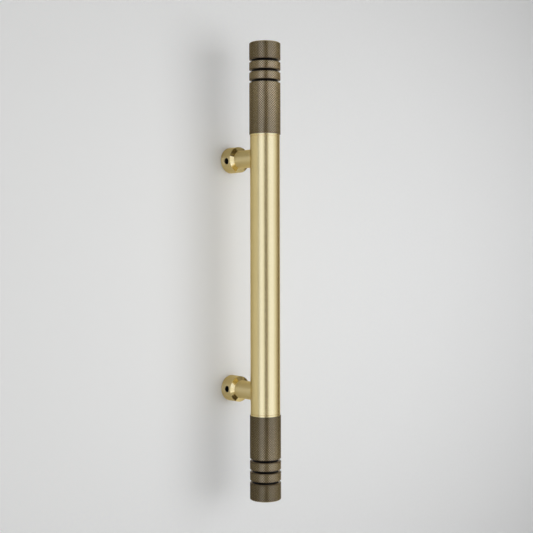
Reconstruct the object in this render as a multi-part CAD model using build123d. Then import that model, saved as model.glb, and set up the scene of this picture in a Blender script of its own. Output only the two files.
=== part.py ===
from build123d import *
import os

# Door pull handle: a round tube with turned ends, carried on two posts.
# Frame: X along the door face, Y into the door with its face at Y = 0, Z up.
# The origin is on the door face, midway between the two fixing screws.

# Posts and bar, set out from the door face
POST_SPACING = 238.0
AXIS_STANDOFF = 54.0
TUBE_DIAMETER = 30.0
TUBE_WALL = 2.0
TUBE_OVERHANG = 20.6
SPACER_THICKNESS = 2.0

# Turned ends, each from the tube outwards: sleeve, narrow rings and end segment
SLEEVE_LENGTH = {"upper": 51.5, "lower": 43.2}
RING_LENGTH = {"upper": 7.3, "lower": 8.0}
END_SEGMENT_LENGTH = 16.8
END_RAISE = 0.7
GROOVE_COUNT = 3
GROOVE_WIDTH = 2.9
GROOVE_DEPTH = 2.7
GROOVE_LIP = 0.2
END_EDGE = 0.6

# Posts: a slim neck, a conical shoulder and a hollow cup against the door
NECK_DIAMETER = 18.5
COLLAR_THICKNESS = 0.8
SHOULDER_LENGTH = 2.1
CUP_WALL = 5.65
CUP_EDGE = 0.3
POST_WEB = 3.0

# Mounting bosses, each screwed to the door inside a cup
SCREW_HOLE_DIAMETER = 5.5
SCREW_HEAD_DIAMETER = 10.5
BOSS_WALL = 2.25
BOSS_GAP = 0.5
BOSS_EDGE = 0.4
BOSS_GROOVE_DEPTH = 1.2

# Grub screws, each through the side of a cup into the groove of its boss
GRUB_DIAMETER = 6.5
GRUB_FROM_DOOR = 9.0
GRUB_FROM_SHOULDER = 5.5
GRUB_RECESS = 2.0
GRUB_TIP_DIAMETER = 1.5
GRUB_TIP_GAP = 0.1
GRUB_KEY_ACROSS_FLATS = 3.0
GRUB_KEY_DEPTH = 2.0
GRUB_EDGE = 0.3
GRUB_TURN = {"upper": 8.0, "lower": -2.3}

# Hidden joinery: plugs in the tube, studs between plugs, ends and posts
STUD_DIAMETER = 10.0
STUD_EDGE = 0.8
STUD_END_GAP = 0.5
STUD_IN_END = 20.0
PLUG_TAIL = 14.0
PLUG_WEB = 2.5
PLUG_CROSS_FLOOR = 9.0
SPIGOT_GAP = 0.5

# Clearances on the radius, and the small break at each visible seam
THREAD_CLEARANCE = 0.05
SLIDE_CLEARANCE = 0.05
PASS_CLEARANCE = 0.25
SEAM_BREAK = 0.15

# Sizes that follow from the ones above
tube_radius = TUBE_DIAMETER / 2
tube_bore = tube_radius - TUBE_WALL
post_height = POST_SPACING / 2
tube_end = post_height + TUBE_OVERHANG
end_face = tube_end + SPACER_THICKNESS
end_radius = tube_radius + END_RAISE
neck_radius = NECK_DIAMETER / 2
neck_front = AXIS_STANDOFF - tube_radius - COLLAR_THICKNESS
cup_length = GRUB_FROM_DOOR + GRUB_FROM_SHOULDER
screw_radius = SCREW_HOLE_DIAMETER / 2
head_radius = SCREW_HEAD_DIAMETER / 2
boss_radius = head_radius + BOSS_WALL
boss_length = cup_length - BOSS_GAP
socket_radius = boss_radius + SLIDE_CLEARANCE
cup_radius = socket_radius + CUP_WALL
shoulder_end = cup_length + SHOULDER_LENGTH
grub_radius = GRUB_DIAMETER / 2
grub_tip_radius = GRUB_TIP_DIAMETER / 2
stud_radius = STUD_DIAMETER / 2
tap_radius = stud_radius + THREAD_CLEARANCE
pass_radius = stud_radius + PASS_CLEARANCE
post_tap_floor = cup_length + POST_WEB
end_tap_depth = STUD_IN_END + STUD_END_GAP
plug_radius = tube_bore - SLIDE_CLEARANCE
plug_inner = post_height - PLUG_TAIL
plug_outer = end_face - SPIGOT_GAP
plug_axial_floor = post_height + tap_radius + PLUG_WEB
plug_cross_floor = AXIS_STANDOFF + plug_radius - PLUG_CROSS_FLOOR

# Places: each has its own Z axis along the piece that is turned there
BAR = Location((0, -AXIS_STANDOFF, 0))
OUTWARDS = {"upper": BAR, "lower": BAR * Rot(180, 0, 0)}
FROM_DOOR = {
    side: Location((0, 0, height), (90, 0, 0)) * Rot(0, 0, GRUB_TURN[side])
    for side, height in (("upper", post_height), ("lower", -post_height))
}
GRUB_AXIS = Location((0, 0, GRUB_FROM_DOOR), (0, -90, 0))


def turned(points):
    """A solid of revolution about Z, from the (radius, height) points of its section."""
    section = Polyline(*[(radius, 0, height) for radius, height in points], close=True)
    return revolve(make_face(section), Axis.Z)


def rod(radius, start, end):
    """A plain cylinder about Z between two heights."""
    return Pos(0, 0, start) * Cylinder(radius, end - start, align=(Align.CENTER, Align.CENTER, Align.MIN))


def stud(start, end):
    """A threaded stud as a plain rod with chamfered ends."""
    return turned([
        (0, start),
        (stud_radius - STUD_EDGE, start),
        (stud_radius, start + STUD_EDGE),
        (stud_radius, end - STUD_EDGE),
        (stud_radius - STUD_EDGE, end),
        (0, end),
    ])


def grip_tube():
    tube = BAR * turned([
        (tube_bore, -tube_end),
        (tube_radius - SEAM_BREAK, -tube_end),
        (tube_radius, SEAM_BREAK - tube_end),
        (tube_radius, tube_end - SEAM_BREAK),
        (tube_radius - SEAM_BREAK, tube_end),
        (tube_bore, tube_end),
    ])
    for place in FROM_DOOR.values():
        tube -= place * rod(pass_radius, neck_front, AXIS_STANDOFF)
    return tube


def spacer_ring(side):
    return OUTWARDS[side] * turned([
        (tube_bore, tube_end),
        (tube_radius - SEAM_BREAK, tube_end),
        (tube_radius, tube_end + SEAM_BREAK),
        (tube_radius, end_face),
        (tube_bore, end_face),
    ])


def knurled_end(side):
    """The turned end: square grooves part it into a sleeve, narrow rings and an end segment."""
    floor = end_radius - GROOVE_DEPTH
    section = [
        (tap_radius, 0),
        (end_radius - SEAM_BREAK, 0),
        (end_radius, SEAM_BREAK),
    ]
    height = SLEEVE_LENGTH[side]
    for _ in range(GROOVE_COUNT):
        far = height + GROOVE_WIDTH
        section += [
            (end_radius, height - GROOVE_LIP),
            (end_radius - GROOVE_LIP, height),
            (floor, height),
            (floor, far),
            (end_radius - GROOVE_LIP, far),
            (end_radius, far + GROOVE_LIP),
        ]
        height = far + RING_LENGTH[side]
    length = far + END_SEGMENT_LENGTH
    section += [
        (end_radius, length - END_EDGE),
        (end_radius - END_EDGE, length),
        (0, length),
        (0, end_tap_depth),
        (tap_radius, end_tap_depth),
    ]
    return OUTWARDS[side] * Pos(0, 0, end_face) * turned(section)


def end_stud(side):
    return OUTWARDS[side] * stud(plug_axial_floor + STUD_END_GAP, end_face + STUD_IN_END)


def tube_plug(side):
    plug = OUTWARDS[side] * turned([
        (0, plug_inner),
        (plug_radius - SEAM_BREAK, plug_inner),
        (plug_radius, plug_inner + SEAM_BREAK),
        (plug_radius, plug_outer - SEAM_BREAK),
        (plug_radius - SEAM_BREAK, plug_outer),
        (tap_radius, plug_outer),
        (tap_radius, plug_axial_floor),
        (0, plug_axial_floor),
    ])
    return plug - FROM_DOOR[side] * rod(tap_radius, neck_front, plug_cross_floor)


def saddle_collar(side):
    """A thin collar between neck and tube, coped to the tube's curve."""
    blank = FROM_DOOR[side] * turned([
        (pass_radius, neck_front),
        (neck_radius - SEAM_BREAK, neck_front),
        (neck_radius, neck_front + SEAM_BREAK),
        (neck_radius, AXIS_STANDOFF),
        (pass_radius, AXIS_STANDOFF),
    ])
    return blank - BAR * rod(tube_radius + SLIDE_CLEARANCE, -tube_end, tube_end)


def post(side):
    """Neck, shoulder and cup turned as one piece, tapped at the neck and cross-drilled at the cup."""
    body = turned([
        (socket_radius, 0),
        (cup_radius - CUP_EDGE, 0),
        (cup_radius, CUP_EDGE),
        (cup_radius, cup_length),
        (neck_radius, shoulder_end),
        (neck_radius, neck_front - SEAM_BREAK),
        (neck_radius - SEAM_BREAK, neck_front),
        (tap_radius, neck_front),
        (tap_radius, post_tap_floor),
        (0, post_tap_floor),
        (0, cup_length),
        (socket_radius, cup_length),
    ])
    body -= GRUB_AXIS * rod(grub_radius + THREAD_CLEARANCE, 0, cup_radius + CUP_WALL)
    return FROM_DOOR[side] * body


def post_stud(side):
    return FROM_DOOR[side] * stud(post_tap_floor + STUD_END_GAP, plug_cross_floor - STUD_END_GAP)


def mounting_boss(side):
    """A boss with a countersunk screw hole, and a groove that the grub screw's point draws into."""
    floor = boss_radius - BOSS_GROOVE_DEPTH
    mouth = grub_tip_radius + BOSS_GROOVE_DEPTH
    return FROM_DOOR[side] * turned([
        (screw_radius, 0),
        (boss_radius, 0),
        (boss_radius, GRUB_FROM_DOOR - mouth),
        (floor, GRUB_FROM_DOOR - grub_tip_radius),
        (floor, GRUB_FROM_DOOR + grub_tip_radius),
        (boss_radius, GRUB_FROM_DOOR + mouth),
        (boss_radius, boss_length - BOSS_EDGE),
        (boss_radius - BOSS_EDGE, boss_length),
        (head_radius, boss_length),
        (screw_radius, boss_length - head_radius + screw_radius),
    ])


def grub_screw(side):
    """A cone-point screw with a hexagon socket, sunk below the face of the cup."""
    tip = boss_radius - BOSS_GROOVE_DEPTH + GRUB_TIP_GAP
    face = cup_radius - GRUB_RECESS
    screw = turned([
        (0, tip),
        (grub_tip_radius, tip),
        (grub_radius, tip + grub_radius - grub_tip_radius),
        (grub_radius, face - GRUB_EDGE),
        (grub_radius - GRUB_EDGE, face),
        (0, face),
    ])
    key = RegularPolygon(GRUB_KEY_ACROSS_FLATS / 2, 6, major_radius=False)
    screw -= Pos(0, 0, face - GRUB_KEY_DEPTH) * extrude(key, GRUB_KEY_DEPTH)
    return FROM_DOOR[side] * GRUB_AXIS * screw


PAIRED_PIECES = (
    spacer_ring,
    knurled_end,
    end_stud,
    tube_plug,
    saddle_collar,
    post,
    post_stud,
    mounting_boss,
    grub_screw,
)

os.makedirs("parts", exist_ok=True)
export_step(grip_tube(), "parts/grip_tube.step")
for make_piece in PAIRED_PIECES:
    for side in ("upper", "lower"):
        export_step(make_piece(side), f"parts/{side}_{make_piece.__name__}.step")
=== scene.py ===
import math
from collections import namedtuple

import bmesh
import bpy
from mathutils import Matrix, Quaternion, Vector


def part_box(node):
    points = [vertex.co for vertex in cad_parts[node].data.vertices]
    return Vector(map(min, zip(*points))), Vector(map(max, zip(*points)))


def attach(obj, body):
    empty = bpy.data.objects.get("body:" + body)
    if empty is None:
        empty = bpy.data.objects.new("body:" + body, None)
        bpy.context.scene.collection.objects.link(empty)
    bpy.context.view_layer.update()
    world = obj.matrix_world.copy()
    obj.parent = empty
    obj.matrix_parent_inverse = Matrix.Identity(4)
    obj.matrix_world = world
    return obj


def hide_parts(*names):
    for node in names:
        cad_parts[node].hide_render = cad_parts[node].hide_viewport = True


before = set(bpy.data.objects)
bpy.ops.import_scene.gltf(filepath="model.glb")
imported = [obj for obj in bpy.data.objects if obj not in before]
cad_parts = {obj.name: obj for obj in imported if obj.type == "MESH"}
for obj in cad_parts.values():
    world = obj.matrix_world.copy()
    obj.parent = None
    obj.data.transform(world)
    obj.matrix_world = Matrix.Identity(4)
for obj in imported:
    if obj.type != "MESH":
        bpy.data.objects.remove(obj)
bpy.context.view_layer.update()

MM = 0.001

# Camera, set out from the bar's axis in metres and degrees, with lens and sensor in millimetres
CAMERA_DISTANCE = 0.9989
CAMERA_TURN = 42.04
CAMERA_AIM_RIGHT = 0.078
CAMERA_TILT_DOWN = 0.756
CAMERA_ROLL = -0.101
CAMERA_HEIGHT = 0.0219
CAMERA_LENS = 66.87
CAMERA_SENSOR = 36.0

# Knurl, cut as two families of crossing grooves that leave flat-topped diamonds
KNURL_STARTS = 40
KNURL_COLUMNS = 2 * KNURL_STARTS
KNURL_DEPTH = 0.4 * MM
KNURL_FLAT = 0.6

# Satin brass, with its streaks in noise cells per metre along X, Y and Z
BRASS_LIGHT = (0.82, 0.665, 0.32)
BRASS_DEEP = (0.75, 0.60, 0.275)
BRASS_RIM = (0.72, 0.62, 0.42, 1.0)
BRASS_STOPS = (0.25, 0.75)
TUBE_STREAKS = (2600.0, 2600.0, 9.0)
POST_STREAKS = (25.0, 3200.0, 25.0)
STREAK_DETAIL = 3.0
STREAK_CONTRAST = 0.6
STREAK_SHARE = 0.7
STREAK_SPAN = (0.2, 0.8)
STREAK_BUMP = 0.12
STREAK_DEPTH = 0.02 * MM
CLOUD_SCALE = 35.0
TUBE_ROUGHNESS = (0.20, 0.24)
TUBE_ANISOTROPY = 0.8
POST_ROUGHNESS = (0.39, 0.45)
POST_ANISOTROPY = 0.9
POST_SHINE_TURN = 0.25
SHOULDER_POLISH = 0.30
# Near black painted within each cup, as shade
CUP_PAINTED_SHADE = (0.03, 0.026, 0.02)
CUP_SKIN = 0.4 * MM
CUP_MARGIN = 0.1 * MM

# Antique brass: rubbed crests, dark cuts between them and black grooves
CREST_LIGHT = (0.92, 0.72, 0.39)
CREST_DARK = (0.76, 0.595, 0.325)
CREST_STOPS = (0.3, 0.65)
CREST_SPAN = (0.86, 0.95)
CUT_SHALLOW = (0.10, 0.075, 0.045)
CUT_DEEP = (0.02, 0.015, 0.01)
CUT_STOPS = (0.0, 0.9)
BLOTCH_SCALE = 160.0
BLOTCH_DETAIL = 4.0
BLOTCH_CONTRAST = 0.6
GROOVE_WALL = (0.55, 0.44, 0.28)
WALL_FROM_CREST = (1.4 * KNURL_DEPTH, 1.2 * KNURL_DEPTH)
GROOVE_FLOOR = (0.008, 0.0075, 0.007)
BLACK_FROM_FLOOR = (0.1 * MM, 0.3 * MM)
AGED_METAL = 0.72
AGED_ROUGHNESS = (0.45, 0.26)
AGED_RIM = (0.20, 0.17, 0.13, 1.0)
AGED_SPECULAR = 0.2

# Tone of the knurled ends: darker near the tube, with painted shade on the last segment and on the side
# towards the door
# How light each end's crests are; the lower end is made darker than the upper
UPPER_CREST_LEVEL = 1.05
LOWER_CREST_LEVEL = 0.72
NEAR_TUBE = 0.68
NEAR_TUBE_REACH = 50.0 * MM
# Painted shade on the outermost segment of each end
LAST_SEGMENT_PAINTED_SHADE = 0.68
# Painted shade on the side of each end turned towards the door
DOOR_SIDE_PAINTED_SHADE = 0.62
DOOR_SIDE_SHADE_SPAN = (-0.6, 0.0)

# Steel of the grub screws and of the hidden hardware
PLATED_COLOUR = (0.62, 0.62, 0.6)
PLATED_ROUGHNESS = 0.35
BLACKENED_COLOUR = (0.02, 0.02, 0.02)
BLACKENED_ROUGHNESS = 0.45
MOTTLE_SCALE = 900.0
MOTTLE_DETAIL = 3.0
MOTTLE_STOPS = (0.3, 0.7)
MOTTLE_DARKER = 0.8
MOTTLE_ROUGHER = 0.1

# Stage: a pale wall that the handle is fixed to, and a pale round floor
WALL_GAP = 0.3 * MM
WALL_REACH = 4.0
WALL_COLOUR = (0.785, 0.80, 0.82)
WALL_LIFT = (0.25, 0.257, 0.266)
# Painted dimming of light: the wall's paint and lift darken away from this centre
WALL_FALL_CENTRE = (-0.18, 0.0, 0.02)
WALL_FALL_REACH = (0.58, 1.0, 0.36)
CONTACT_REACH = 0.035
CLEAR_UNDER_CUP = 0.85 * MM
FLOOR_DROP = 1.0
FLOOR_REACH = 5.0
FLOOR_FADE = 2.5
FLOOR_CORNERS = 96
FLOOR_COLOUR = (0.74, 0.73, 0.71)
FLOOR_LIFT = (0.42, 0.42, 0.42)
# Painted dimming of light on the floor, and the end and share of that dimming for floor and wall
FLOOR_FALL_CENTRE = (0.0, 0.0, 0.0)
FLOOR_FALL_REACH = (4.0, 4.0, 4.0)
FALL_END = 4.0
FALL_SHARE = 0.5
SPECKLE_SCALE = 300.0
SPECKLE_SPAN = (0.3, 0.7)
SPECKLE_SHARE = 0.985
PAINT_ROUGHNESS = 0.9
MIRRORED_LIFT = 0.8

# Studio light, with the panels' distances and heights in metres
FRONT_DISTANCE = 1.4
FRONT_HEIGHT = 1.25
LEFT_DISTANCE = 1.3
LEFT_HEIGHT = 1.2
WASH_HEIGHT = 1.0
COOL_WHITE = (1.0, 1.16, 1.76)
MILD_WHITE = (1.0, 1.09, 1.40)
PLAIN_WHITE = (1.0, 1.0, 1.0)
DIM_LEVEL = (0.12, 0.096, 0.054)
DIM_STEEP = (0.30, 0.283, 0.24)
STEEP_SPAN = (0.45, 0.6)

# Shared values: the soft edge of a mask, how close corners count as one, and axes to measure along
BLACK = (0.0, 0.0, 0.0)
SOFT_EDGE = 0.05 * MM
SAME_RADIUS = 0.02 * MM
SAME_HEIGHT = 0.05 * MM
ON_AXIS = 1.0 * MM
DEPTH_AXIS = 1
HEIGHT_AXIS = 2
ALONG_BAR = (0.0, 0.0, 1.0)
ACROSS_BAR = (1.0, 1.0, 0.0)
ACROSS_POST = (1.0, 0.0, 1.0)

BAR_AXIS = sum(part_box("grip_tube"), Vector()) / 2
Post = namedtuple("Post", "height cup_radius neck_back cup_front")
End = namedtuple("End", "crest floor bore segments faces bore_ends tube_side last_groove last_crest")


def new_object(name, data):
    made = bpy.data.objects.new(name, data)
    bpy.context.scene.collection.objects.link(made)
    return made


def scaled(colour, share):
    return tuple(share * channel for channel in colour)


def set_stops(ramp, positions, colours):
    for element, position, colour in zip(ramp.color_ramp.elements, positions, colours):
        element.position = position
        element.color = (*colour, 1.0)


# Shader nodes


class Shader:
    """A node material with a Principled shader, and short calls that add the nodes which drive it."""

    def __init__(self, name):
        self.material = bpy.data.materials.new(name)
        self.material.use_nodes = True
        self.tree = self.material.node_tree
        self.principled = self.tree.nodes["Principled BSDF"]

    def node(self, kind, **settings):
        made = self.tree.nodes.new(kind)
        for key, value in settings.items():
            setattr(made, key, value)
        return made

    def feed(self, socket, value):
        if isinstance(value, bpy.types.NodeSocket):
            self.tree.links.new(value, socket)
        else:
            socket.default_value = value

    def set(self, **values):
        for key, value in values.items():
            self.feed(self.principled.inputs[key.replace("_", " ")], value)

    def place(self):
        return self.node("ShaderNodeTexCoord").outputs["Object"]

    def math(self, operation, first, second):
        made = self.node("ShaderNodeMath", operation=operation)
        self.feed(made.inputs[0], first)
        self.feed(made.inputs[1], second)
        return made.outputs[0]

    def product(self, first, *others):
        for other in others:
            first = self.math("MULTIPLY", first, other)
        return first

    def vector(self, operation, first, second=(0.0, 0.0, 0.0)):
        made = self.node("ShaderNodeVectorMath", operation=operation)
        self.feed(made.inputs[0], first)
        self.feed(made.inputs[1], second)
        return made.outputs["Value" if operation == "LENGTH" else "Vector"]

    def length(self, vector, axes):
        """The length of a vector along the axes that are 1, without those that are 0."""
        return self.vector("LENGTH", self.vector("MULTIPLY", vector, axes))

    def depth(self, vector):
        """The Y of a vector, which runs into the door."""
        made = self.node("ShaderNodeSeparateXYZ")
        self.feed(made.inputs[0], vector)
        return made.outputs["Y"]

    def noise(self, place, scale, detail=2.0, contrast=0.5):
        made = self.node("ShaderNodeTexNoise")
        self.feed(made.inputs["Vector"], place)
        self.feed(made.inputs["Scale"], scale)
        self.feed(made.inputs["Detail"], detail)
        self.feed(made.inputs["Roughness"], contrast)
        return made.outputs["Fac"]

    def span(self, value, low, high, out_low=0.0, out_high=1.0):
        made = self.node("ShaderNodeMapRange", clamp=True)
        for socket, number in zip(made.inputs, (value, low, high, out_low, out_high)):
            self.feed(socket, number)
        return made.outputs[0]

    def within(self, value, limit):
        """1 below a limit and 0 above it."""
        return self.span(value, limit - SOFT_EDGE, limit + SOFT_EDGE, 1.0, 0.0)

    def between(self, value, low, high):
        """1 between two limits and 0 outside them."""
        return self.math("SUBTRACT", self.within(value, high), self.within(value, low))

    def ramp(self, value, positions, *colours):
        made = self.node("ShaderNodeValToRGB")
        set_stops(made, positions, colours)
        self.feed(made.inputs[0], value)
        return made.outputs["Color"]

    def mix(self, share, first, second):
        made = self.node("ShaderNodeMix", data_type="RGBA")
        self.feed(made.inputs["Factor"], share)
        for socket, colour in ((made.inputs["A"], first), (made.inputs["B"], second)):
            self.feed(socket, colour if isinstance(colour, bpy.types.NodeSocket) else (*colour, 1.0))
        return made.outputs["Result"]

    def around(self, axis):
        """The direction round a turned piece, for the spread of its shine."""
        return self.node("ShaderNodeTangent", direction_type="RADIAL", axis=axis).outputs[0]

    def bump(self, height, strength, distance):
        made = self.node("ShaderNodeBump")
        self.feed(made.inputs["Height"], height)
        self.feed(made.inputs["Strength"], strength)
        self.feed(made.inputs["Distance"], distance)
        return made.outputs["Normal"]


def from_post(shader, post):
    """The distance from the axis of the nearer post."""
    place = shader.vector("ABSOLUTE", shader.place())
    return shader.length(shader.vector("SUBTRACT", place, (0.0, 0.0, post.height)), ACROSS_POST)


# Satin brass


def streaked(shader, streaks):
    place = shader.vector("MULTIPLY", shader.place(), streaks)
    return shader.noise(place, 1.0, STREAK_DETAIL, STREAK_CONTRAST)


def brushed_brass(name):
    """Satin brass with fine streaks along the bar."""
    shader = Shader(name)
    streaks = streaked(shader, TUBE_STREAKS)
    clouds = shader.noise(shader.place(), CLOUD_SCALE)
    tone = shader.math(
        "ADD",
        shader.math("MULTIPLY", streaks, STREAK_SHARE),
        shader.math("MULTIPLY", clouds, 1.0 - STREAK_SHARE),
    )
    shader.set(
        Base_Color=shader.ramp(tone, BRASS_STOPS, BRASS_DEEP, BRASS_LIGHT),
        Metallic=1.0,
        Roughness=shader.span(streaks, *STREAK_SPAN, *TUBE_ROUGHNESS),
        Specular_Tint=BRASS_RIM,
        Anisotropic=TUBE_ANISOTROPY,
        Tangent=shader.around("Z"),
        Normal=shader.bump(streaks, STREAK_BUMP, STREAK_DEPTH),
    )
    return shader.material


def turned_brass(name, post):
    """Satin brass turned about the post, polished on the shoulder, with painted shade within the cup."""
    shader = Shader(name)
    depth = shader.depth(shader.place())
    # Painted shade: faces within the cup, deeper than its outer skin, are coloured near black
    painted_shade_in_cup = shader.product(
        shader.between(depth, post.cup_front + CUP_MARGIN, -CUP_MARGIN),
        shader.within(from_post(shader, post), post.cup_radius - CUP_SKIN),
    )
    polished = shader.between(depth, post.neck_back, post.cup_front)
    streaks = streaked(shader, POST_STREAKS)
    brass = shader.ramp(streaks, BRASS_STOPS, BRASS_DEEP, BRASS_LIGHT)
    shader.set(
        Base_Color=shader.mix(painted_shade_in_cup, brass, CUP_PAINTED_SHADE),
        Metallic=1.0,
        Roughness=shader.math(
            "SUBTRACT",
            shader.span(streaks, *STREAK_SPAN, *POST_ROUGHNESS),
            shader.math("MULTIPLY", polished, SHOULDER_POLISH),
        ),
        Specular_Tint=BRASS_RIM,
        Anisotropic=POST_ANISOTROPY,
        Anisotropic_Rotation=POST_SHINE_TURN,
        Tangent=shader.around("Y"),
        Normal=shader.bump(streaks, STREAK_BUMP, STREAK_DEPTH),
    )
    return shader.material


# Antique brass


def darkening_and_painted_shade(shader, from_axis, end):
    """How much an end's tone is darkened: darker near the tube, and painted shade on the last segment
    and towards the door.
    """
    along = shader.length(from_axis, ALONG_BAR)
    radius = shader.length(from_axis, ACROSS_BAR)
    towards_door = shader.math("DIVIDE", shader.depth(from_axis), radius)
    segment_start = end.last_groove - 2 * SOFT_EDGE
    return shader.product(
        shader.span(along, end.tube_side, end.tube_side + NEAR_TUBE_REACH, NEAR_TUBE, 1.0),
        # Painted shade on the last segment and on the side towards the door
        shader.span(along, segment_start, end.last_groove, 1.0, LAST_SEGMENT_PAINTED_SHADE),
        shader.span(towards_door, *DOOR_SIDE_SHADE_SPAN, 1.0, DOOR_SIDE_PAINTED_SHADE),
    )


def worn_and_shaded_tone(shader, from_axis, end, crest_level):
    """The blotched colour of the worn crests, darkened near the tube and by painted shade on the last
    segment and the door side.
    """
    blotches = shader.noise(shader.place(), BLOTCH_SCALE, BLOTCH_DETAIL, BLOTCH_CONTRAST)
    tone = shader.ramp(blotches, CREST_STOPS, scaled(CREST_DARK, crest_level), scaled(CREST_LIGHT, crest_level))
    return shader.mix(darkening_and_painted_shade(shader, from_axis, end), BLACK, tone)


def antique_brass(name, end, crest_level):
    """Aged brass: black on groove floors, dark in the knurl, worn lighter on crests and end face, with
    painted shade there on the last segment and the door side.
    """
    shader = Shader(name)
    from_axis = shader.vector("SUBTRACT", shader.place(), tuple(BAR_AXIS))
    along = shader.length(from_axis, ALONG_BAR)
    radius = shader.length(from_axis, ACROSS_BAR)
    height = shader.span(radius, end.crest - KNURL_DEPTH, end.crest)
    worn_and_shaded = worn_and_shaded_tone(shader, from_axis, end, crest_level)
    cut = shader.ramp(height, CUT_STOPS, CUT_DEEP, CUT_SHALLOW)
    patina = shader.mix(shader.span(height, *CREST_SPAN), cut, worn_and_shaded)
    above_wall = shader.span(radius, *(end.crest - below for below in WALL_FROM_CREST))
    above_floor = shader.span(radius, *(end.floor + above for above in BLACK_FROM_FLOOR))
    grooved = shader.mix(above_floor, GROOVE_FLOOR, shader.mix(above_wall, GROOVE_WALL, patina))
    end_face = shader.span(along, end.last_crest, end.last_crest + SOFT_EDGE)
    shader.set(
        Base_Color=shader.mix(end_face, grooved, worn_and_shaded),
        Metallic=shader.math("MULTIPLY", shader.math("MAXIMUM", above_wall, end_face), AGED_METAL),
        Roughness=shader.span(height, 0.0, 1.0, *AGED_ROUGHNESS),
        Specular_Tint=AGED_RIM,
        Specular_IOR_Level=AGED_SPECULAR,
    )
    return shader.material


# Steel


def mottled_steel(name, colour, roughness):
    """Plated or blackened steel with faint mottling."""
    shader = Shader(name)
    mottle = shader.noise(shader.place(), MOTTLE_SCALE, MOTTLE_DETAIL)
    shader.set(
        Base_Color=shader.ramp(mottle, MOTTLE_STOPS, scaled(colour, MOTTLE_DARKER), colour),
        Metallic=1.0,
        Roughness=shader.span(mottle, *MOTTLE_STOPS, roughness, roughness + MOTTLE_ROUGHER),
    )
    return shader.material


# Knurled ends


def corners(node, axis, along):
    """Each corner of a turned solid, as its distance from an axis and its place along it."""
    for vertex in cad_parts[node].data.vertices:
        offset = vertex.co - axis
        offset[along] = 0.0
        yield offset.length, vertex.co[along]


def levels(points, radius):
    """The places along the axis where a turned solid has a corner of that radius, lowest first."""
    found = []
    for place in sorted(place for distance, place in points if abs(distance - radius) < SAME_RADIUS):
        if not found or place - found[-1] > SAME_HEIGHT:
            found.append(place)
    return found


def turned_end(node):
    """The radii and heights of a turned end, read from the corners of its solid."""
    points = list(corners(node, BAR_AXIS, HEIGHT_AXIS))
    low, high = (corner.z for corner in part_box(node))
    crest = max(radius for radius, _ in points)
    crests = levels(points, crest)
    segments = list(zip(crests[::2], crests[1::2]))
    floor = min(radius for radius, height in points if segments[0][1] < height < segments[1][0])
    bore = min(radius for radius, _ in points if radius > ON_AXIS)
    along = sorted(abs(height - BAR_AXIS.z) for height in crests)
    return End(
        crest=crest,
        floor=floor,
        bore=bore,
        segments=segments,
        faces=[low, *levels(points, floor), high],
        bore_ends=levels(points, bore),
        tube_side=along[0],
        last_groove=along[-2],
        last_crest=along[-1],
    )


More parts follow.
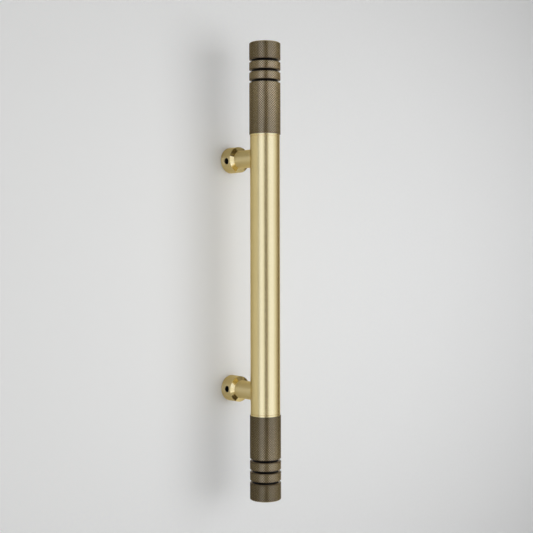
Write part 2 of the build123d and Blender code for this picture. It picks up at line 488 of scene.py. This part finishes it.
class Knurl:
    """Builds the skin of a turned end, from diamonds and rings of vertices about the bar's axis."""

    def __init__(self, crest):
        self.mesh = bmesh.new()
        self.crest = crest

    def at(self, column, radius, height):
        angle = 2 * math.pi * column / KNURL_COLUMNS
        side = Vector((math.cos(angle), math.sin(angle), 0.0)) * radius
        return self.mesh.verts.new((BAR_AXIS.x + side.x, BAR_AXIS.y + side.y, height))

    def ring(self, like, height, radius):
        """A copy of a ring at another height, drawn in where it lies outside a radius."""
        made = []
        for vertex in like:
            offset = vertex.co - BAR_AXIS
            offset.z = 0.0
            offset *= min(offset.length, radius) / offset.length
            made.append(self.mesh.verts.new((BAR_AXIS.x + offset.x, BAR_AXIS.y + offset.y, height)))
        return made

    def band(self, lower, upper):
        for index in range(len(lower)):
            after = (index + 1) % len(lower)
            self.mesh.faces.new((lower[index], lower[after], upper[after], upper[index]))

    def face(self, points, way):
        """A face of a diamond's upper half, or turned over for its lower half."""
        self.mesh.faces.new(points if way > 0 else points[::-1])

    def diamond(self, valleys, row, column, height, half_height):
        """A flat-topped diamond, cut in half at an end row. Returns its points along its middle."""
        left = self.at(column - KNURL_FLAT, self.crest, height)
        right = self.at(column + KNURL_FLAT, self.crest, height)
        west = valleys[row, (column - 1) % KNURL_COLUMNS]
        east = valleys[row, (column + 1) % KNURL_COLUMNS]
        tips = {}
        for way in (-1, 1):
            if (row + way, column) in valleys:
                tip = self.at(column, self.crest, height + way * KNURL_FLAT * half_height)
                corner = valleys[row + way, column]
                self.face((west, left, tip, corner), way)
                self.face((corner, tip, right, east), way)
                tips[way] = tip
        if len(tips) == 2:
            self.mesh.faces.new((left, tips[-1], right, tips[1]))
        else:
            way = next(iter(tips))
            self.face((left, right, tips[way]), way)
        return [left, right, east]

    def diamonds(self, low, high):
        """Rows of diamonds between two heights. Returns the cut edge at each of them."""
        pitch = 2 * math.pi * self.crest / KNURL_STARTS
        half_rows = 2 * max(1, round((high - low) / pitch))
        step = (high - low) / half_rows
        valleys = {}
        for row in range(half_rows + 1):
            for column in range(row % 2, KNURL_COLUMNS, 2):
                valleys[row, column] = self.at(column, self.crest - KNURL_DEPTH, low + row * step)
        edges = {0: [], half_rows: []}
        for row in range(half_rows + 1):
            for column in range((row + 1) % 2, KNURL_COLUMNS, 2):
                middle = self.diamond(valleys, row, column, low + row * step, step)
                if row in edges:
                    edges[row] += middle
        return edges[0], edges[half_rows]

    def eased_ring(self, edge, face):
        """The ring where a cut edge meets a flat face, eased by the room between them."""
        return self.ring(edge, face, self.crest - abs(edge[0].co.z - face))

    def segment(self, low, high, face_low, face_high):
        """A knurled segment without its flat faces. Returns the ring at each of them."""
        edge_low, edge_high = self.diamonds(low, high)
        ring_low = self.eased_ring(edge_low, face_low)
        ring_high = self.eased_ring(edge_high, face_high)
        self.band(ring_low, edge_low)
        self.band(edge_high, ring_high)
        return ring_low, ring_high

    def groove(self, lower, upper, floor):
        """The walls and the floor between the rings of two segments."""
        floor_low = self.ring(lower, lower[0].co.z, floor)
        floor_high = self.ring(upper, upper[0].co.z, floor)
        self.band(lower, floor_low)
        self.band(floor_low, floor_high)
        self.band(floor_high, upper)

    def bored_face(self, outer, radius, mouth, depth):
        """A flat face, and the blind bore in it."""
        bore_mouth = self.ring(outer, mouth, radius)
        bore_floor = self.ring(outer, depth, radius)
        self.band(outer, bore_mouth)
        self.band(bore_mouth, bore_floor)
        self.mesh.faces.new(bore_floor)

    def finished(self, name):
        bmesh.ops.recalc_face_normals(self.mesh, faces=self.mesh.faces)
        mesh = bpy.data.meshes.new(name)
        self.mesh.to_mesh(mesh)
        self.mesh.free()
        return mesh


def knurled_skin(name, end):
    """The closed skin of a turned end, with its segments, grooves, outer face and bore."""
    knurl = Knurl(end.crest)
    rings = []
    for index, (low, high) in enumerate(end.segments):
        ring_low, ring_high = knurl.segment(low, high, *end.faces[2 * index:2 * index + 2])
        if rings:
            knurl.groove(rings[-1], ring_low, end.floor)
        rings += [ring_low, ring_high]
    tube_face = rings[0]
    outer_face = rings[-1]
    mouth, depth = end.bore_ends
    if mouth < BAR_AXIS.z:
        tube_face, outer_face = outer_face, tube_face
        mouth, depth = depth, mouth
    knurl.mesh.faces.new(outer_face)
    knurl.bored_face(tube_face, end.bore, mouth, depth)
    return knurl.finished(name)


def knurled_end(node, crest_level):
    """A knurled skin in the place of a plain turned end."""
    end = turned_end(node)
    piece = new_object(f"{node}_skin", knurled_skin(f"{node}_skin", end))
    piece.data.materials.append(antique_brass(f"{node}_patina", end, crest_level))
    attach(piece, "root")
    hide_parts(node)


# Solids that stay as they are


def measured_post(node):
    """A post's height, its cup's radius, and the depths where its shoulder meets neck and cup."""
    low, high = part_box(node)
    axis = (low + high) / 2
    points = list(corners(node, axis, DEPTH_AXIS))
    cup_radius = high.x - axis.x
    neck_radius = max(radius for radius, depth in points if depth < low.y / 2)
    return Post(
        height=abs(axis.z),
        cup_radius=cup_radius,
        neck_back=levels(points, neck_radius)[-1],
        cup_front=min(depth for radius, depth in points if radius > cup_radius - SAME_RADIUS),
    )


def dress_solids(post):
    """Gives each solid the finish of its kind of piece."""
    tube_brass = brushed_brass("tube_brass")
    post_brass = turned_brass("post_brass", post)
    plated_steel = mottled_steel("plated_steel", PLATED_COLOUR, PLATED_ROUGHNESS)
    finishes = {
        "grip_tube": tube_brass,
        "spacer_ring": tube_brass,
        "post": post_brass,
        "saddle_collar": post_brass,
        "grub_screw": mottled_steel("black_steel", BLACKENED_COLOUR, BLACKENED_ROUGHNESS),
    }
    for node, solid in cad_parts.items():
        kind = node.removeprefix("upper_").removeprefix("lower_")
        solid.data.materials.clear()
        solid.data.materials.append(finishes.get(kind, plated_steel))


# Stage


def stage_plane(name, outline, material):
    mesh = bpy.data.meshes.new(name)
    mesh.from_pydata(outline, [], [tuple(range(len(outline)))])
    plane = new_object(name, mesh)
    mesh.materials.append(material)


def pale_tone(shader, fall_centre, fall_reach):
    """A faint speckle, with painted light that dims a little away from a centre."""
    place = shader.place()
    away = shader.vector("DIVIDE", shader.vector("SUBTRACT", place, fall_centre), fall_reach)
    away = shader.vector("LENGTH", away)
    painted_light_dimming = shader.span(shader.product(away, away), 0.0, FALL_END, 1.0, FALL_SHARE)
    speckle = shader.span(shader.noise(place, SPECKLE_SCALE), *SPECKLE_SPAN, SPECKLE_SHARE, 1.0)
    return shader.product(painted_light_dimming, speckle)


def pale_lift(shader):
    """How strongly paint is lifted to look pale: in full for the eye, and a little less for mirrors."""
    path = shader.node("ShaderNodeLightPath").outputs
    mirrored = shader.math("MAXIMUM", path["Is Glossy Ray"], path["Is Transmission Ray"])
    return shader.math("MAXIMUM", path["Is Camera Ray"], shader.product(mirrored, MIRRORED_LIFT))


def floor_paint(name):
    """Pale lifted paint, with painted dimming of light that fades into the dim surroundings at the
    floor's edge.
    """
    shader = Shader(name)
    tone = pale_tone(shader, FLOOR_FALL_CENTRE, FLOOR_FALL_REACH)
    away = shader.length(shader.place(), ACROSS_BAR)
    # Painted dimming: paint and lift fade to the dim surroundings towards the floor's edge
    near = shader.span(away, FLOOR_FADE, FLOOR_REACH, 1.0, 0.0)
    shader.set(
        Base_Color=shader.mix(near, BLACK, shader.mix(tone, BLACK, FLOOR_COLOUR)),
        Roughness=PAINT_ROUGHNESS,
        Emission_Color=shader.mix(near, DIM_LEVEL, shader.mix(tone, BLACK, FLOOR_LIFT)),
        Emission_Strength=pale_lift(shader),
    )
    return shader.material


def wall_paint(name, post):
    """Pale lifted paint with painted soft contact shade, clear from behind and under the cups."""
    shader = Shader(name)
    tone = pale_tone(shader, WALL_FALL_CENTRE, WALL_FALL_REACH)
    # Painted contact shade: ambient occlusion darkens the lift near the handle
    contact = shader.node("ShaderNodeAmbientOcclusion")
    shader.feed(contact.inputs["Distance"], CONTACT_REACH)
    shader.feed(contact.inputs["Color"], shader.mix(tone, BLACK, WALL_LIFT))
    shader.set(
        Base_Color=shader.mix(tone, BLACK, WALL_COLOUR),
        Roughness=PAINT_ROUGHNESS,
        Emission_Color=contact.outputs["Color"],
        Emission_Strength=pale_lift(shader),
    )
    behind = shader.node("ShaderNodeNewGeometry").outputs["Backfacing"]
    under_cup = shader.within(from_post(shader, post), post.cup_radius - CLEAR_UNDER_CUP)
    choice = shader.node("ShaderNodeMixShader")
    shader.feed(choice.inputs[0], shader.math("MAXIMUM", behind, under_cup))
    shader.feed(choice.inputs[1], shader.principled.outputs[0])
    shader.feed(choice.inputs[2], shader.node("ShaderNodeBsdfTransparent").outputs[0])
    shader.feed(shader.tree.nodes["Material Output"].inputs["Surface"], choice.outputs[0])
    return shader.material


def build_stage(post):
    wall = [
        (-WALL_REACH, WALL_GAP, -FLOOR_DROP),
        (WALL_REACH, WALL_GAP, -FLOOR_DROP),
        (WALL_REACH, WALL_GAP, WALL_REACH),
        (-WALL_REACH, WALL_GAP, WALL_REACH),
    ]
    stage_plane("wall", wall, wall_paint("wall_paint", post))
    turns = [2 * math.pi * corner / FLOOR_CORNERS for corner in range(FLOOR_CORNERS)]
    floor = [(FLOOR_REACH * math.cos(turn), FLOOR_REACH * math.sin(turn), -FLOOR_DROP) for turn in turns]
    stage_plane("floor", floor, floor_paint("floor_paint"))


# Studio light: panels that the metal mirrors, washes for matt surfaces, and a panel behind the handle


def lamp(name, colour, turn, distance, height, radiance):
    """A soft panel that faces the bar, between two turns in degrees from the wall's normal to +X."""
    turn_from, turn_to = turn
    middle = math.radians((turn_from + turn_to) / 2)
    light = bpy.data.lights.new(name, "AREA")
    light.shape = "RECTANGLE"
    light.size = 2 * distance * math.tan(math.radians(turn_to - turn_from) / 2)
    light.size_y = height
    light.energy = radiance * math.pi * light.size * light.size_y
    light.color = colour
    made = new_object(name, light)
    away = Vector((math.sin(middle), -math.cos(middle), 0.0))
    made.location = BAR_AXIS + away * distance
    made.rotation_mode = "QUATERNION"
    made.rotation_quaternion = (-away).to_track_quat("-Z", "Y")
    made.visible_camera = False
    return made


def front_shine(name, colour, turn, radiance):
    """A panel in front that is mirrored, and that lights no matt surface."""
    lamp(name, colour, turn, FRONT_DISTANCE, FRONT_HEIGHT, radiance).visible_diffuse = False


def left_shine(name, colour, turn, radiance):
    """A panel at the left that is mirrored, and that lights no matt surface."""
    lamp(name, colour, turn, LEFT_DISTANCE, LEFT_HEIGHT, radiance).visible_diffuse = False


def wash(name, turn, radiance):
    """A panel that lights matt surfaces, and that isn't mirrored."""
    lamp(name, PLAIN_WHITE, turn, FRONT_DISTANCE, WASH_HEIGHT, radiance).visible_glossy = False


def light_stage():
    front_shine("front_edge", PLAIN_WHITE, turn=(-21.0, -16.5), radiance=1.05)
    front_shine("front_panel", COOL_WHITE, turn=(-16.5, 28.0), radiance=1.05)
    front_shine("side_panel", MILD_WHITE, turn=(28.0, 50.0), radiance=0.80)
    front_shine("far_panel", PLAIN_WHITE, turn=(50.0, 72.0), radiance=0.38)
    left_shine("left_edge", MILD_WHITE, turn=(-54.0, -48.0), radiance=1.08)
    left_shine("left_panel", COOL_WHITE, turn=(-88.0, -54.0), radiance=1.08)
    wash("wall_light", turn=(6.0, 52.0), radiance=2.7)
    wash("wall_fill", turn=(-30.0, 6.0), radiance=0.7)
    lamp("back_panel", PLAIN_WHITE, (150.0, 210.0), FRONT_DISTANCE, FRONT_HEIGHT, radiance=0.6)


def dim_surroundings():
    """Dim warm light between the panels, lighter far above and below them."""
    world = bpy.data.worlds.new("dim_surroundings")
    world.use_nodes = True
    nodes = world.node_tree.nodes
    links = world.node_tree.links
    direction = nodes.new("ShaderNodeSeparateXYZ")
    links.new(nodes.new("ShaderNodeTexCoord").outputs["Generated"], direction.inputs[0])
    steep = nodes.new("ShaderNodeMath")
    steep.operation = "ABSOLUTE"
    links.new(direction.outputs["Z"], steep.inputs[0])
    ramp = nodes.new("ShaderNodeValToRGB")
    set_stops(ramp, STEEP_SPAN, (DIM_LEVEL, DIM_STEEP))
    links.new(steep.outputs[0], ramp.inputs[0])
    links.new(ramp.outputs["Color"], nodes["Background"].inputs["Color"])
    return world


def photo_camera():
    """A camera at the photograph's angle, tilted a little downwards and almost upright."""
    camera = new_object("camera", bpy.data.cameras.new("camera"))
    camera.data.lens = CAMERA_LENS
    camera.data.sensor_width = CAMERA_SENSOR
    turn = math.radians(CAMERA_TURN)
    camera.location = BAR_AXIS + CAMERA_DISTANCE * Vector((-math.sin(turn), -math.cos(turn), 0.0))
    camera.location.z = CAMERA_HEIGHT
    aim = math.radians(CAMERA_TURN + CAMERA_AIM_RIGHT)
    tilt = math.radians(CAMERA_TILT_DOWN)
    ahead = Vector((math.sin(aim) * math.cos(tilt), math.cos(aim) * math.cos(tilt), -math.sin(tilt)))
    roll = Quaternion((0.0, 0.0, 1.0), math.radians(CAMERA_ROLL))
    camera.rotation_mode = "QUATERNION"
    camera.rotation_quaternion = ahead.to_track_quat("-Z", "Y") @ roll
    return camera


# The scene, put together

knurled_end("upper_knurled_end", UPPER_CREST_LEVEL)
knurled_end("lower_knurled_end", LOWER_CREST_LEVEL)
upper_post = measured_post("upper_post")
dress_solids(upper_post)
build_stage(upper_post)
light_stage()
bpy.context.scene.world = dim_surroundings()
bpy.context.scene.camera = photo_camera()
bpy.context.scene.view_settings.view_transform = "Standard"
